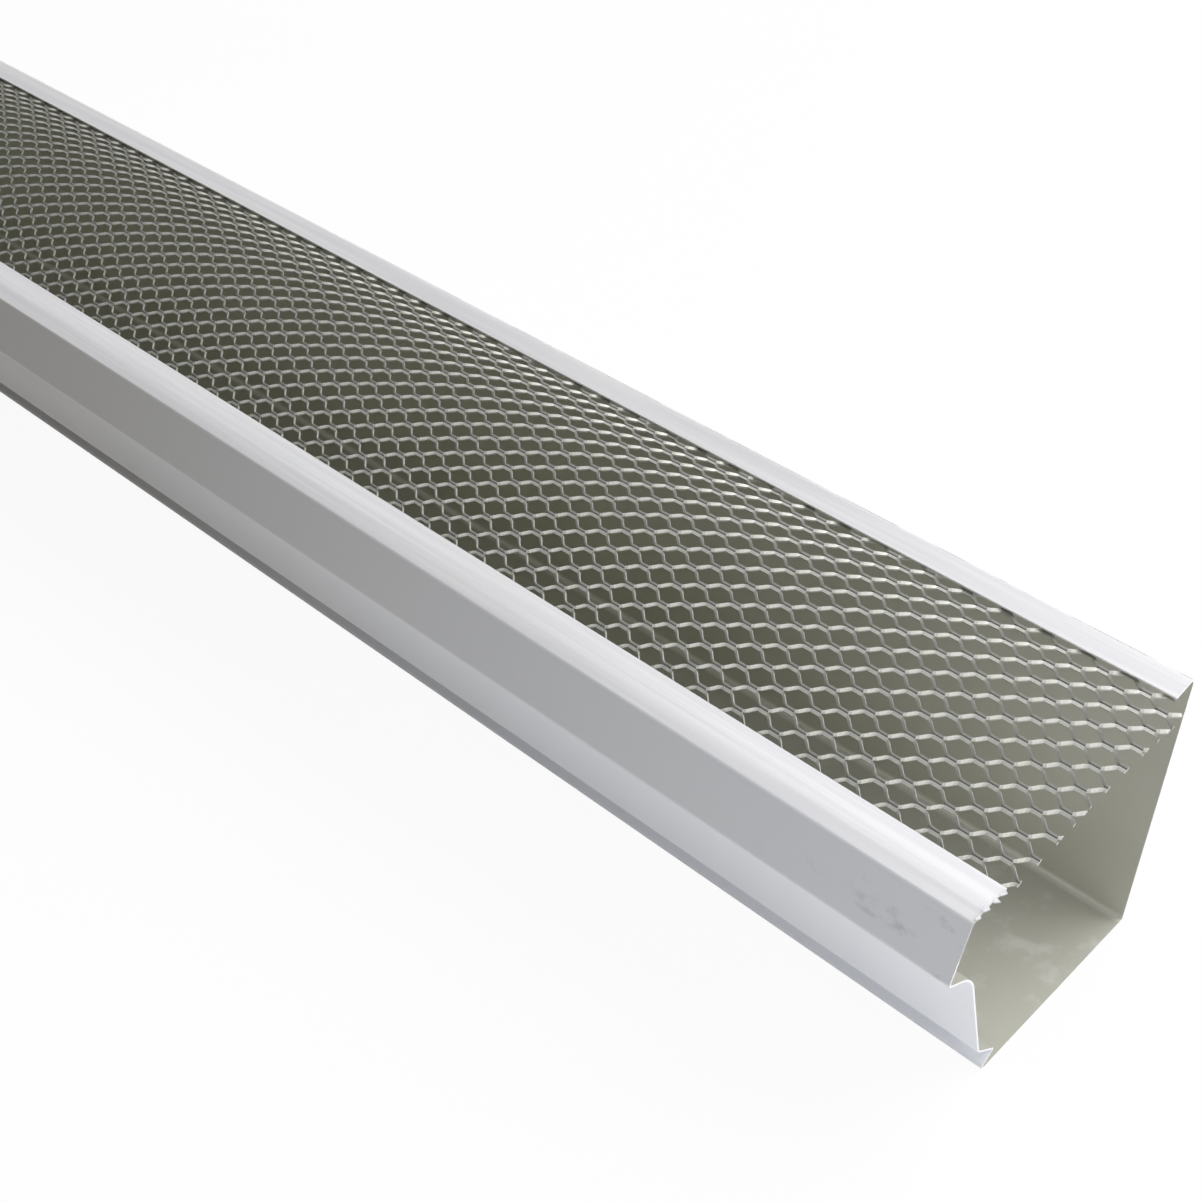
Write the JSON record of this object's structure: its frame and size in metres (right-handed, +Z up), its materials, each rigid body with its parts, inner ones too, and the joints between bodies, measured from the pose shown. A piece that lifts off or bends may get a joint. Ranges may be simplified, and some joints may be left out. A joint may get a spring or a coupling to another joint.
{
  "type": "rain gutter with mesh gutter guard",
  "caption": "Length of ogee-front rain gutter with an arched expanded-metal guard sprung in under its front lip and back flange to keep leaves out.",
  "frame": {"origin": "middle of the bounding box, on the floor under the flat bottom", "axes": "+X along the gutter towards its near end, +Y to the back wall that goes against the house, +Z up"},
  "size_m": [0.9204, 0.1336, 0.1228],
  "materials": {
    "coated_sheet": "satin white enamel",
    "galvanised_mesh": "bright galvanised"
  },
  "bodies": {
    "root": {"gutter_channel": "coated_sheet", "guard_mesh_1": "galvanised_mesh", "guard_mesh_2": "galvanised_mesh", "guard_mesh_3": "galvanised_mesh", "guard_mesh_4": "galvanised_mesh"}
  },
  "joints": []
}
